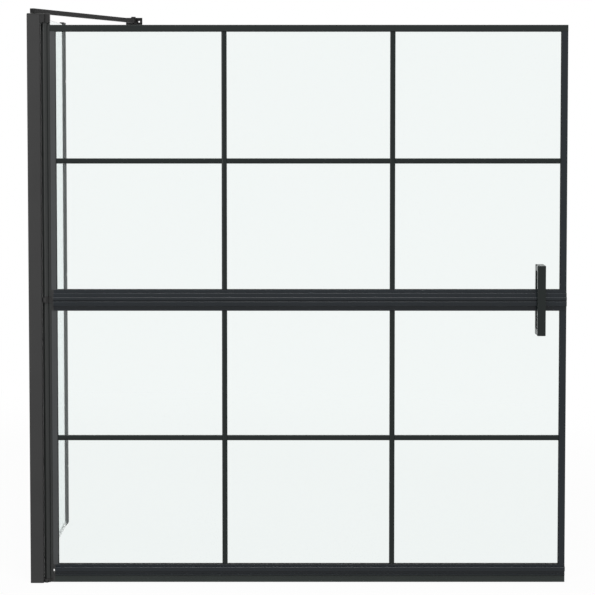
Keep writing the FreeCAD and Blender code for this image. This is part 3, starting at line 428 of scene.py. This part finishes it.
def turned_part(shape, rings, base, along):
    """Adds a turned part with a socket to a shape. It stands on base and points along Z or X."""
    rows = [turned_ring(shape, ring, base, along) for ring in rings]
    for low, high in zip(rows, rows[1:]):
        for index in range(turned_sides):
            shape.faces.new((low[index - 1], low[index], high[index], high[index - 1]))
    shape.faces.new(rows[0])
    shape.faces.new(rows[-1])


def turned_piece(name, rings, bases, along, finish, body, node):
    """One piece of several turned parts, smooth but for their sharp edges."""
    shape = bmesh.new()
    for base in bases:
        turned_part(shape, rings, base, along)
    for face in shape.faces:
        face.smooth = True
    mesh = finished_mesh(shape, name)
    mesh.set_sharp_from_angle(angle=smooth_angle)
    add_piece(name, mesh, finish, body, node)


def bracket_pin_piece(finish):
    """Pin of the wall bracket with a rounded head and a hexagon socket."""
    low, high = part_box("bracket_pin")
    middle = (low + high) / 2
    base = (middle.x, middle.y, high.z - bracket_pin_head_height)
    name = "bracket_pin_turned"
    turned_piece(name, bracket_pin_rings, [base], "Z", finish, "bracket", "bracket_pin")


def lock_screw_piece(finish):
    """Three pan head screws in the wall channel."""
    low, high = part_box("locking_screws")
    middle = (low + high) / 2
    seat = high.x - lock_screw_head_height
    bases = [(seat, middle.y, middle.z + step * lock_screw_gap) for step in (-1, 0, 1)]
    name = "locking_screws_turned"
    turned_piece(name, lock_screw_rings, bases, "X", finish, "post_frame", "locking_screws")


def side_pane_piece(finish):
    """Side pane with ground arrises."""
    low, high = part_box("side_glass")
    middle = (low + high) / 2
    shape = bmesh.new()
    bmesh.ops.create_cube(shape, size=1)
    for vert in shape.verts:
        vert.co = vert.co * (high - low) + middle
    round_edges(shape, list(shape.edges), pane_arris, pane_arris_steps)
    mesh = finished_mesh(shape, "side_pane")
    add_piece("side_pane", mesh, finish, "post_frame", "side_glass")


def set_off_back(shape, gap):
    """Moves the back of a shape forward by a gap."""
    back = max(vert.co.y for vert in shape.verts)
    for vert in shape.verts:
        if back - vert.co.y < weld_distance:
            vert.co.y -= gap


def eased_piece(node, size, gap):
    """Copy of a frame member with a small rounding on its long sharp edges, in the place of its solid."""
    solid = frame["nodes"][node]
    shape = bmesh.new()
    shape.from_mesh(solid.data)
    bmesh.ops.remove_doubles(shape, verts=shape.verts, dist=weld_distance)
    bmesh.ops.dissolve_limit(shape, angle_limit=flat_angle, verts=shape.verts, edges=shape.edges)
    edges = [
        edge for edge in shape.edges
        if edge.calc_face_angle_signed() > sharp_angle and edge.calc_length() > shortest_eased
    ]
    round_edges(shape, edges, size, easing_steps)
    if gap:
        set_off_back(shape, gap)
    for face in shape.faces:
        face.smooth = True
    mesh = finished_mesh(shape, node + "_eased")
    mesh.set_sharp_from_angle(angle=smooth_angle)
    finish = solid.material_slots[0].material
    piece = add_piece(node + "_eased", mesh, finish, solid["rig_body"], node)
    normals = piece.modifiers.new("normals", "WEIGHTED_NORMAL")
    normals.keep_sharp = True


def make_pieces(finishes):
    """Pieces that stand for plainer solids of the frame."""
    for node in ("outer_handle", "inner_handle"):
        handle_piece(node, finishes["handle_coat"])
    bracket_pin_piece(finishes["pin"])
    lock_screw_piece(finishes["steel"])
    side_pane_piece(finishes["side_glass"])
    for node in eased_members:
        eased_piece(node, member_easing, 0)
    for node in eased_bars:
        eased_piece(node, bar_easing, bar_glue)


def make_camera():
    """Camera at the photograph's place, level but for a small pitch, with a shift for the framing."""
    data = bpy.data.cameras.new("camera")
    data.sensor_width = sensor_width
    data.lens = focal_pixels / picture_size * sensor_width
    data.shift_x = shift_across
    data.shift_y = shift_up
    data.clip_end = farthest_seen
    camera = bpy.data.objects.new("camera", data)
    camera.location = camera_place
    camera.rotation_euler = (math.radians(90 - camera_pitch_degrees), 0, 0)
    scene.collection.objects.link(camera)
    scene.camera = camera


def seen_ray(tree):
    """Output that is 1 for what the camera sees directly, through glass or in a mirror."""
    path = tree.nodes.new("ShaderNodeLightPath")
    through = either_output(tree, path.outputs["Is Camera Ray"], path.outputs["Is Transmission Ray"])
    return either_output(tree, through, path.outputs["Is Glossy Ray"])


def make_world():
    """White to the camera, in mirrors and through glass, and a plain level of light otherwise."""
    world = bpy.data.worlds.new("white_studio")
    scene.world = world
    world.use_nodes = True
    tree = world.node_tree
    background = tree.nodes["Background"]
    node_value(background, "Color", (1, 1, 1, 1))
    strength = between(tree, seen_ray(tree), fill_level, white_level)
    tree.links.new(strength, background.inputs["Strength"])


def floor_finish():
    """Pale floor that keeps the object's shadow and fades to plain white further out."""
    material, tree, shader = new_material("floor_white")
    node_value(shader, "Roughness", floor_roughness)
    node_value(shader, "Specular IOR Level", 0)
    seen = seen_ray(tree)
    tree.links.new(between(tree, seen, floor_bounce, floor_tone), shader.inputs["Base Color"])
    glow = tree.nodes.new("ShaderNodeEmission")
    place = tree.nodes.new("ShaderNodeTexCoord")
    distance = tree.nodes.new("ShaderNodeVectorMath")
    distance.operation = "LENGTH"
    fade = tree.nodes.new("ShaderNodeMapRange")
    fade.interpolation_type = "SMOOTHSTEP"
    node_value(fade, "From Min", floor_shadow_radius)
    node_value(fade, "From Max", floor_white_radius)
    node_value(fade, "To Min", floor_glow_share)
    share = tree.nodes.new("ShaderNodeMath")
    share.operation = "MULTIPLY"
    tree.links.new(place.outputs["Object"], distance.inputs[0])
    tree.links.new(distance.outputs["Value"], fade.inputs["Value"])
    tree.links.new(fade.outputs["Result"], share.inputs[0])
    tree.links.new(seen, share.inputs[1])
    mixed_surface(tree, share.outputs["Value"], shader.outputs["BSDF"], glow.outputs["Emission"])
    return material


def make_floor():
    """Square floor under the object."""
    mesh = bpy.data.meshes.new("floor")
    half = floor_size / 2
    corners = [(-half, -half, 0), (half, -half, 0), (half, half, 0), (-half, half, 0)]
    mesh.from_pydata(corners, [], [(0, 1, 2, 3)])
    mesh.materials.append(floor_finish())
    floor = bpy.data.objects.new("floor", mesh)
    scene.collection.objects.link(floor)


def area_light(name, place, target, size, power):
    """Square soft light at a place, turned to a target. It isn't seen through the glass."""
    data = bpy.data.lights.new(name, "AREA")
    data.size = size
    data.energy = power
    light = bpy.data.objects.new(name, data)
    light.location = place
    light.visible_transmission = False
    light.rotation_euler = (Vector(target) - Vector(place)).to_track_quat("-Z", "Y").to_euler()
    scene.collection.objects.link(light)


scene.view_settings.view_transform = "Standard"
make_camera()
make_world()
make_floor()
area_light("left_light", **left_light)
area_light("top_light", **top_light)
finishes = make_finishes()
slot_of_node = dress_frame(finishes)
make_pieces(finishes)
